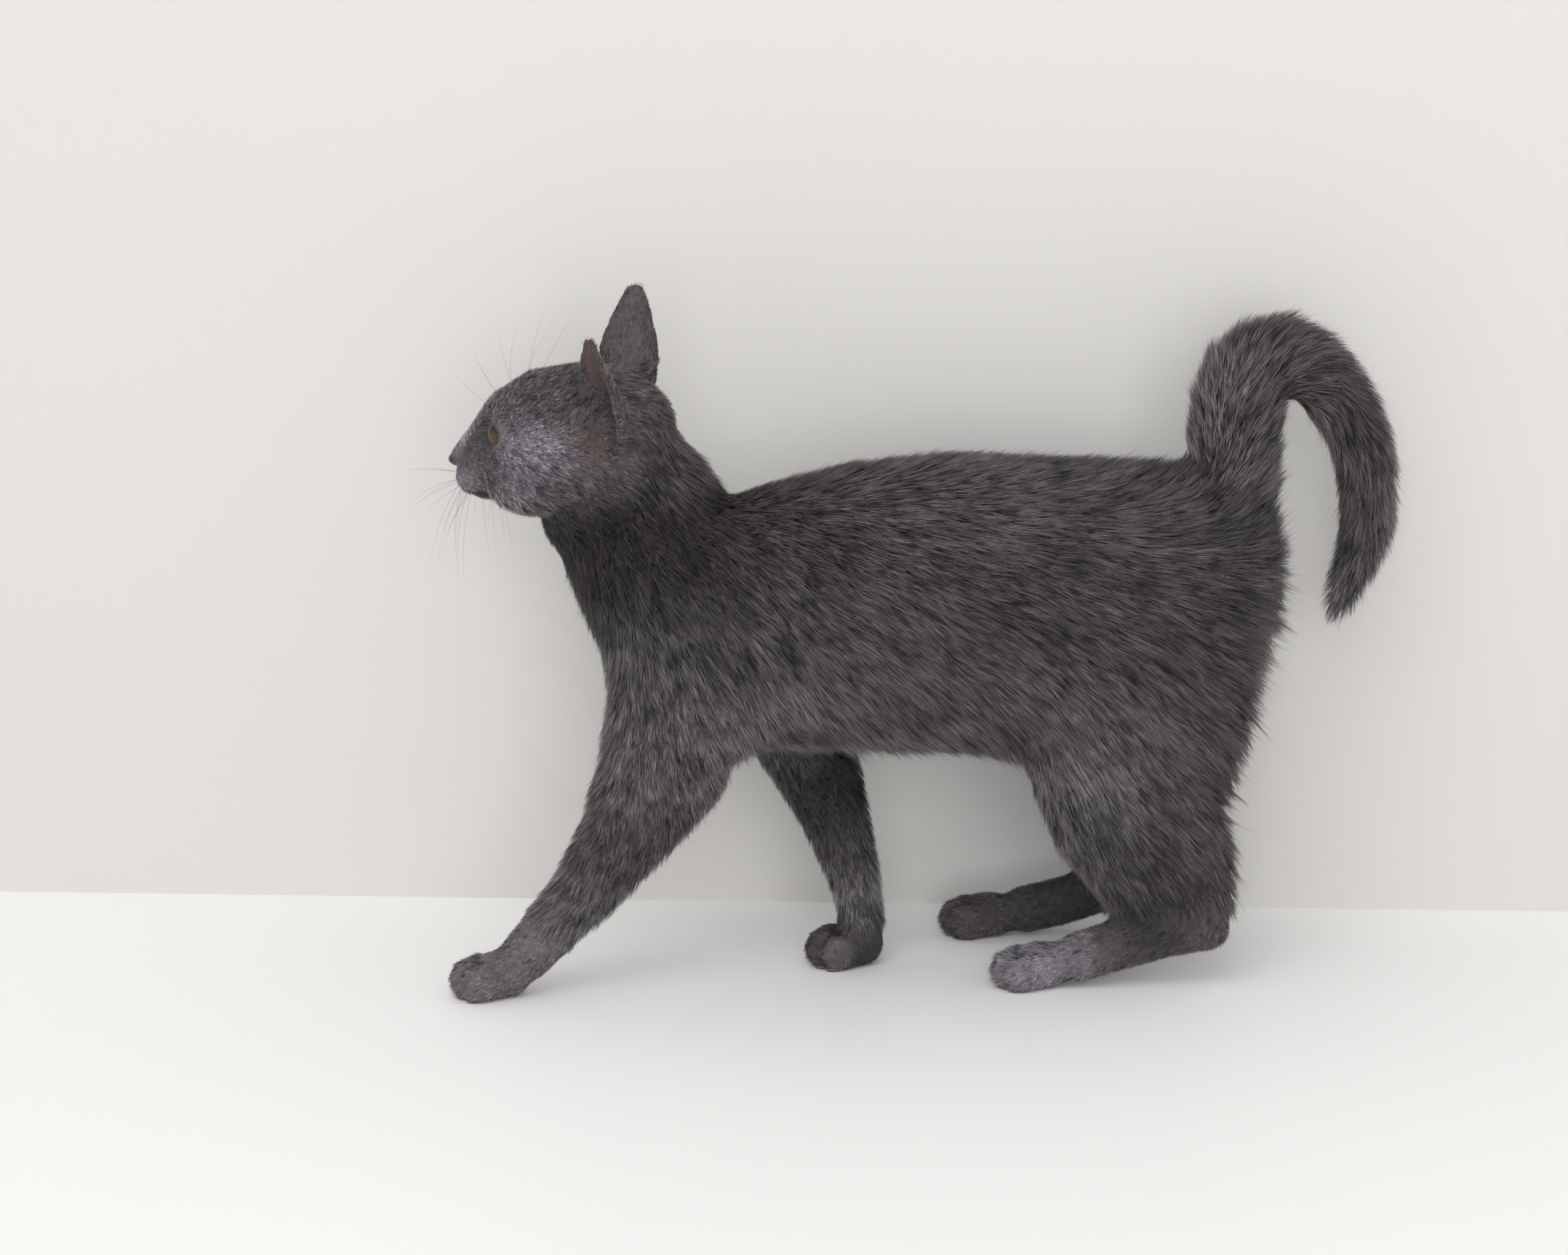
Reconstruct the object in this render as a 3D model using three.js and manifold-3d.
// A young short-haired cat with a plush blue-grey coat, walking: life-size, still, and in its named parts.
// Millimetres, +Z up. The cat faces -X, so its left side is at -Y and its right side is at +Y. It stands on
// z = 0, with the origin under the middle of its box. Every surface is the outer surface of the coat.
import * as THREE from "three";
import { mergeVertices } from "three/addons/utils/BufferGeometryUtils.js";
import Module from "manifold-3d";

const wasm = await Module();
wasm.setup();

// ---------------------------------------------------------------- driving sizes
const PART_GAP = 0.3; // the thin cut between two neighbouring parts
const FLOOR_BITE = 1.2; // how much of each sole the floor flattens
const EYE_RADIUS = 8;
const EYE_PLACE = [-15.6, 17.4, 11.8]; // the right eye, in the head's own frame
const ORBIT_PLACE = [-23.4, 22, 12.2]; // the hollow in front of it, out of which it looks
const ORBIT_HALF = [8, 7.5, 8.5];
const EAR_THICKNESS = 3.0;
const HEAD_CENTRE = new THREE.Vector3(-149, -9, 226);
const HEAD_YAW = 20; // degrees: the nose turns towards the cat's right
const HEAD_ROLL = 9; // degrees: the right ear is carried higher than the left one
const HEAD_PITCH = 0; // degrees: the nose dips

const COAT = new THREE.MeshStandardMaterial({ color: 0x565457, roughness: 0.85, metalness: 0 });
const NOSE_LEATHER = new THREE.MeshStandardMaterial({ color: 0x2b2526, roughness: 0.5, metalness: 0 });
const EYE_AMBER = new THREE.MeshStandardMaterial({ color: 0x9a7a3a, roughness: 0.08, metalness: 0 });

const SIDEWAYS = new THREE.Vector3(0, 1, 0);
const point = (p) => new THREE.Vector3(...p);
const degrees = THREE.MathUtils.degToRad;

// ---------------------------------------------------------------- from geometry to solid and back
function solidFrom(geometry, matrix = new THREE.Matrix4()) {
  const bare = geometry.clone().applyMatrix4(matrix);
  bare.deleteAttribute("normal");
  bare.deleteAttribute("uv");
  const merged = mergeVertices(bare, 1e-4);
  const mesh = new wasm.Mesh({
    numProp: 3,
    vertProperties: merged.attributes.position.array,
    triVerts: new Uint32Array(merged.index.array),
  });
  return new wasm.Manifold(mesh);
}

function geometryFrom(solid) {
  const { vertProperties, triVerts, numProp, numVert } = solid.getMesh();
  const places = new Float32Array(numVert * 3);
  for (let i = 0; i < numVert; i++) {
    places.set(vertProperties.subarray(i * numProp, i * numProp + 3), i * 3);
  }
  const geometry = new THREE.BufferGeometry();
  geometry.setAttribute("position", new THREE.BufferAttribute(places, 3));
  geometry.setIndex(new THREE.BufferAttribute(triVerts, 1));
  return geometry.toNonIndexed();
}

const joined = (solids) => solids.reduce((all, next) => all.add(next));

// ---------------------------------------------------------------- the two ways to make flesh
// A body lofted through stations. Each is { at, half: [side, up, down] }: the centre of an oval section
// and its half sizes. The spine is smooth through the centres, "side" is across it, and "up" is spine x side.
// Both ends close in a dome. ring(angle, side, up, down) may give another section than the oval.
const oval = (angle, side, up, down) => [
  -side * Math.cos(angle),
  Math.sin(angle) * (Math.sin(angle) > 0 ? up : down),
];

const smoothThrough = (points) => new THREE.CatmullRomCurve3(points, false, "catmullrom", 0.5);
const PLAIN = { around: 20, perSpan: 1, domes: [6, 6], domeRows: 3, across: SIDEWAYS, ring: oval };

function loft(stations, options) {
  const { around, perSpan, domes, domeRows, across, ring } = { ...PLAIN, ...options };
  const centres = smoothThrough(stations.map((s) => point(s.at)));
  const sizes = smoothThrough(stations.map((s) => point(s.half)));
  const spans = (stations.length - 1) * perSpan;
  const rows = spans + 2 * domeRows;
  const geometry = new THREE.SphereGeometry(1, around, rows);
  const place = geometry.attributes.position;
  for (let i = 0; i < place.count; i++) {
    const row = Math.floor(i / (around + 1));
    const angle = ((i % (around + 1)) / around) * 2 * Math.PI;
    const inStart = row < domeRows;
    const inEnd = row > rows - domeRows;
    const along = inStart ? 0 : inEnd ? 1 : (row - domeRows) / spans;
    const rowsToPole = inStart ? row : rows - row;
    const turn = inStart || inEnd ? ((rowsToPole / domeRows) * Math.PI) / 2 : Math.PI / 2;
    const spine = centres.getTangent(along);
    const side = across.clone().addScaledVector(spine, -across.dot(spine)).normalize();
    const up = spine.clone().cross(side);
    const reach = inStart ? -domes[0] : inEnd ? domes[1] : 0;
    const half = sizes.getPoint(along);
    const [s, u] = ring(angle, half.x, half.y, half.z);
    const p = centres.getPoint(along).addScaledVector(spine, reach * Math.cos(turn));
    p.addScaledVector(side, s * Math.sin(turn)).addScaledVector(up, u * Math.sin(turn));
    place.setXYZ(i, p.x, p.y, p.z);
  }
  return geometry;
}

// An ellipsoid with its middle at `at`.
function ball(at, radii, around = 16) {
  const geometry = new THREE.SphereGeometry(1, around, Math.round(around * 0.6));
  return geometry.rotateX(Math.PI / 2).scale(...radii).translate(...at);
}

// ---------------------------------------------------------------- trunk and neck
// The trunk is carried a little across the walking line: its hind end is further to the cat's right.
function trunk() {
  const stations = [
    { at: [-118, -10, 139], half: [28, 34, 34] },
    { at: [-95, -7, 146], half: [37, 48, 44] },
    { at: [-62, -4, 154], half: [43, 58, 57] },
    { at: [-25, 0, 160], half: [48, 64, 63] },
    { at: [8, 4, 161], half: [50, 66, 65] },
    { at: [38, 8, 161], half: [49, 64, 63] },
    { at: [68, 12, 162], half: [46, 58, 57] },
    { at: [98, 15, 164], half: [43, 51, 50] },
    { at: [122, 18, 162], half: [38, 46, 42] },
    { at: [136, 20, 158], half: [30, 38, 34] },
  ];
  return loft(stations, { around: 24, domes: [17, 13] });
}

// The spine runs from the chest up to the skull, so "up" in a section faces the throat.
function neck() {
  const stations = [
    { at: [-95, -8, 158], half: [35, 43, 38] },
    { at: [-107, -8, 176], half: [34, 40, 42] },
    { at: [-116, -8, 191], half: [31, 37, 39] },
    { at: [-126, -8, 210], half: [29, 36, 37] },
    { at: [-133, -9, 223], half: [27, 32, 31] },
  ];
  return loft(stations, { around: 20, domes: [8, 8] });
}

// ---------------------------------------------------------------- head, in a frame of its own
// The skull's middle is the origin, the nose is at -X, the crown is at +Z and the cat's right side is at +Y.
const HEAD = new THREE.Matrix4()
  .makeRotationFromEuler(new THREE.Euler(degrees(HEAD_ROLL), degrees(-HEAD_PITCH), degrees(-HEAD_YAW), "ZYX"))
  .setPosition(HEAD_CENTRE);

function skull() {
  const stations = [
    { at: [-44, 0, -9], half: [8.5, 7, 9] },
    { at: [-38, 0, -7], half: [13, 12.5, 14.5] },
    { at: [-31, 0, -4], half: [18, 18, 17.4] },
    { at: [-22, 0, 0], half: [24, 24.8, 20.8] },
    { at: [-9, 0, 3], half: [29.5, 30.6, 24.8] },
    { at: [8, 0, 5], half: [32.5, 32.2, 27.6] },
    { at: [23, 0, 5], half: [31, 31.6, 28] },
    { at: [36, 0, 4], half: [24, 25.4, 22] },
  ];
  return loft(stations, { around: 22, domes: [3, 11] });
}

// The narrow bridge from the forehead down to the nose: "up" in a section faces the mouth.
function bridge() {
  const stations = [
    { at: [-18, 0, 19], half: [10, 8, 7.5] },
    { at: [-26.5, 0, 14], half: [8, 8, 7.6] },
    { at: [-34.5, 0, 6.5], half: [6.4, 8, 6.8] },
    { at: [-42.5, 0, -1], half: [5.6, 7, 6] },
    { at: [-47, 0, -4], half: [4.8, 5, 4.6] },
  ];
  return loft(stations, { around: 12, domes: [2, 2.4], domeRows: 2 });
}

function cheek(side) {
  return ball([-6, side * 17, -9.5], [22, 15, 13.2], 12);
}

function whiskerPad(side) {
  return ball([-38.2, side * 6.6, -10.8], [8.4, 8.5, 8], 10);
}

function chin() {
  return ball([-34.8, 0, -16.6], [8.5, 8, 6], 10);
}

function nose(grow) {
  return ball([-47.6, 0, -4.2], [4.2 + grow, 5 + grow, 4 + grow], 10);
}

// The back of the ear bulges and its front is hollow: the section is a thin crescent.
const crescent = (angle, side, depth) => [
  -side * Math.cos(angle),
  depth * Math.sin(angle) ** 2 + (EAR_THICKNESS / 2) * Math.sin(angle),
];

function ear({ base, tip, opening }) {
  const axis = point(tip).sub(point(base));
  const back = point(opening).negate();
  const across = back.cross(axis).normalize();
  // Share of the height, half width, and depth of the hollow.
  const shape = [
    [0, 9, 10],
    [0.16, 13, 15],
    [0.36, 13.6, 13.5],
    [0.56, 11.8, 8.5],
    [0.76, 8.8, 4],
    [0.93, 5, 1.4],
  ];
  const stations = shape.map(([share, width, depth]) => ({
    at: point(base).addScaledVector(axis, share).toArray(),
    half: [width, depth, 0],
  }));
  return loft(stations, { around: 14, domes: [1, 3.2], domeRows: 2, across, ring: crescent });
}

const EARS = {
  left: { base: [28.5, -30, 10], tip: [31.5, -37, 58.8], opening: [-0.5, -0.85, 0.15] },
  right: { base: [19.5, 20, 17], tip: [25.6, 28, 65], opening: [-0.58, 0.82, 0.1] },
};

// ---------------------------------------------------------------- legs
// Each spine runs down, so "up" in a section faces the tail.
const LIMB_MESH = { around: 16, domes: [7, 6], domeRows: 2 };
const LIMBS = {
  left_foreleg: [
    { at: [-76, -17, 186], half: [15, 19, 19] },
    { at: [-90, -23, 158], half: [18, 30, 31] },
    { at: [-100, -27, 128], half: [19, 34, 34] },
    { at: [-109.5, -28, 95], half: [18, 27, 28] },
    { at: [-125, -28, 67], half: [15.5, 19, 20] },
    { at: [-143, -28, 42], half: [13, 14.4, 15] },
    { at: [-158.5, -27, 25.5], half: [12, 12.5, 12] },
    { at: [-168, -27, 14.5], half: [12, 11.5, 11] },
  ],
  right_foreleg: [
    { at: [-68, 12, 186], half: [15, 19, 19] },
    { at: [-70, 22, 158], half: [18, 28, 28] },
    { at: [-63, 28, 128], half: [19, 28, 28] },
    { at: [-50.2, 27, 95], half: [16, 23, 21] },
    { at: [-37.2, 24, 66], half: [13, 16, 16] },
    { at: [-29, 21, 40], half: [11, 12.4, 12] },
    { at: [-25, 20, 20], half: [11, 10.5, 10.5] },
    { at: [-27, 20, 11], half: [11, 10, 10] },
  ],
  left_hind_leg: [
    { at: [98, -2, 186], half: [17, 32, 32] },
    { at: [92, -9, 152], half: [25, 50, 46] },
    { at: [86, -14, 122], half: [24, 53, 48] },
    { at: [82, -16, 96], half: [21, 50, 43] },
    { at: [86, -17, 71], half: [18, 40, 34] },
    { at: [98.5, -17, 48], half: [15, 34.5, 28] },
    { at: [108, -17, 32], half: [12, 26, 20.5] },
    { at: [113, -17, 24], half: [10, 19, 15.5] },
  ],
  right_hind_leg: [
    { at: [96, 32, 186], half: [17, 32, 32] },
    { at: [86, 41, 152], half: [24, 44, 44] },
    { at: [76, 49, 122], half: [23, 43, 43] },
    { at: [70, 54, 96], half: [20, 38, 31] },
    { at: [74, 58, 71], half: [17, 28, 24] },
    { at: [81, 61, 48], half: [14, 22, 21] },
    { at: [88, 62, 32], half: [11, 17, 16] },
    { at: [92, 62, 24], half: [10, 14, 14] },
  ],
};

// The long hind feet run forward from the hock, so "up" in a section faces the floor.
const HIND_FEET = {
  left_hind_foot: [
    { at: [122, -17, 27], half: [9.5, 10.5, 10] },
    { at: [102, -16, 23.5], half: [9.5, 11, 12] },
    { at: [81, -15, 18], half: [9.5, 12, 11.5] },
    { at: [62, -14, 12], half: [10.5, 12, 10.5] },
  ],
  right_hind_foot: [
    { at: [99, 62, 25], half: [9.5, 9, 10] },
    { at: [82, 62, 21], half: [9.5, 11, 11.5] },
    { at: [63, 62, 15.5], half: [9.5, 12, 11] },
    { at: [45, 62, 12], half: [10.5, 12, 10] },
  ],
};

// A paw is a palm with four toes fanned in front of it. heel is under the wrist, heading is the yaw off -X in
// degrees, positive towards the cat's left.
const TOES = [
  { forward: 17.8, out: -9.4 },
  { forward: 22.3, out: -3.2 },
  { forward: 22.3, out: 3.2 },
  { forward: 17.8, out: 9.4 },
];
function paw({ heel, heading }) {
  const palm = ball([-9, 0, 10], [14, 12, 11.5], 8);
  const toes = TOES.map(({ forward, out }) => ball([-forward, out, 8.7], [9.8, 5, 9.4], 7));
  const turned = new THREE.Matrix4().makeRotationZ(degrees(heading)).setPosition(...heel);
  return joined([palm, ...toes].map((g) => solidFrom(g, turned)));
}

const PAWS = {
  left_forepaw: { heel: [-167, -27, -FLOOR_BITE], heading: 8 },
  right_forepaw: { heel: [-19, 20, -FLOOR_BITE], heading: 14 },
  left_hind_foot: { heel: [59, -14, -FLOOR_BITE], heading: 4 },
  right_hind_foot: { heel: [41, 62, -FLOOR_BITE], heading: -2 },
};

// ---------------------------------------------------------------- tail
// It rises, so "up" in its first sections faces the head, and turns over to the back.
function tail() {
  const stations = [
    { at: [119, 18, 186], half: [20, 26, 27] },
    { at: [126, 19, 207], half: [19.5, 20.5, 23] },
    { at: [128, 19, 231], half: [19, 18.5, 21.5] },
    { at: [133, 20, 252], half: [19, 19.5, 21] },
    { at: [149, 22, 262], half: [18, 18, 19] },
    { at: [169, 25, 249], half: [15.5, 16, 16] },
    { at: [183, 29, 228], half: [14, 14.5, 14.5] },
    { at: [189, 34, 204], half: [13, 13.5, 13.5] },
    { at: [189, 39, 182], half: [11.5, 12, 12] },
    { at: [183, 44, 162], half: [8.5, 9, 9] },
  ];
  return loft(stations, { around: 14, perSpan: 2, domes: [8, 16] });
}

// ---------------------------------------------------------------- the whole body, parted with thin cuts
const sides = { left: -1, right: 1 };
const inHead = (geometry) => solidFrom(geometry, HEAD);

const eyes = {};
for (const [name, side] of Object.entries(sides)) {
  const place = [EYE_PLACE[0], side * EYE_PLACE[1], EYE_PLACE[2]];
  eyes[name] = { ball: inHead(ball(place, Array(3).fill(EYE_RADIUS), 10)) };
  eyes[name].socket = inHead(ball(place, Array(3).fill(EYE_RADIUS + PART_GAP), 10));
  eyes[name].orbit = inHead(ball([ORBIT_PLACE[0], side * ORBIT_PLACE[1], ORBIT_PLACE[2]], ORBIT_HALF, 7));
}

const flesh = [trunk(), neck(), tail()].map((geometry) => solidFrom(geometry));
flesh.push(...[skull(), bridge(), chin()].map(inHead));
for (const side of Object.values(sides)) {
  flesh.push(inHead(cheek(side)), inHead(whiskerPad(side)));
}
for (const shape of Object.values(EARS)) flesh.push(inHead(ear(shape)));
for (const stations of [...Object.values(LIMBS), ...Object.values(HIND_FEET)]) {
  flesh.push(solidFrom(loft(stations, LIMB_MESH)));
}
for (const place of Object.values(PAWS)) flesh.push(paw(place));

const FLOOR = solidFrom(new THREE.BoxGeometry(600, 400, 60).translate(0, 0, -30));
let rest = joined(flesh).subtract(FLOOR);
rest = rest.subtract(inHead(nose(PART_GAP)));
for (const { socket, orbit } of Object.values(eyes)) rest = rest.subtract(socket).subtract(orbit);

// A part is what lies beyond a cut: a box standing on the cut's plane, which passes through `on` and faces
// `out`, away from the trunk. Its size is [along the body, across it, outward], which holds no other part.
function cellSolid({ on, out, size }, grow, frame) {
  const box = new THREE.BoxGeometry(...size.map((s) => s + 2 * grow)).translate(0, 0, size[2] / 2);
  const up = point(out).normalize();
  const along = SIDEWAYS.clone().cross(up).normalize();
  const place = new THREE.Matrix4().makeBasis(along, up.clone().cross(along), up).setPosition(...on);
  return solidFrom(box, frame.clone().multiply(place));
}

const group = new THREE.Group();
const addPart = (name, solid, material) => {
  const mesh = new THREE.Mesh(geometryFrom(solid), material);
  mesh.name = name;
  group.add(mesh);
};

function take(name, cell, frame = new THREE.Matrix4()) {
  addPart(name, rest.intersect(cellSolid(cell, 0, frame)), COAT);
  rest = rest.subtract(cellSolid(cell, PART_GAP, frame));
}

take("ear_left", { on: [28.4, -26, 30], out: [0.09, -0.3, 0.95], size: [60, 40, 60] }, HEAD);
take("ear_right", { on: [22.6, 23, 34], out: [0.12, 0.16, 0.98], size: [60, 40, 60] }, HEAD);
take("head", { on: [-124, -9, 212], out: [-0.65, 0, 0.76], size: [160, 140, 140] });
take("neck", { on: [-110, -8, 178], out: [-0.7, 0, 0.71], size: [160, 140, 60] });
take("tail_tip", { on: [186, 31, 216], out: [0.15, 0.15, -1], size: [60, 80, 90] });
take("tail_bend", { on: [129, 20, 238], out: [0.55, 0, 0.84], size: [160, 90, 90] });
take("tail_base", { on: [127, 20, 206], out: [0.5, 0, 0.87], size: [76, 80, 60] });
take("forepaw_left", { on: [-153, -27, 29], out: [-0.7, 0, -0.7], size: [70, 60, 80] });
take("foreleg_left", { on: [-140, -36, 93], out: [0, 0, -1], size: [150, 64, 120] });
take("forepaw_right", { on: [-26, 22, 20], out: [0, 0, -1], size: [70, 60, 40] });
take("foreleg_right", { on: [-45, 28, 93], out: [0, 0, -1], size: [90, 60, 120] });
take("hindfoot_left", { on: [80, -17, 36], out: [0, 0, -1], size: [130, 50, 60] });
take("hindleg_left", { on: [85, -17, 90], out: [0, 0, -1], size: [130, 60, 120] });
take("hindfoot_right", { on: [65, 62, 36], out: [0, 0, -1], size: [130, 50, 60] });
take("hindleg_right", { on: [75, 60, 90], out: [0, 0, -1], size: [110, 60, 120] });
addPart("trunk", rest, COAT);

addPart("nose", inHead(nose(0)), NOSE_LEATHER);
for (const [name, eye] of Object.entries(eyes)) addPart("eye_" + name, eye.ball, EYE_AMBER);

// The origin goes to the middle of the box, on the floor.
const middle = new THREE.Box3().setFromObject(group).getCenter(new THREE.Vector3());
for (const mesh of group.children) mesh.geometry.translate(-middle.x, -middle.y, 0);

export default group;
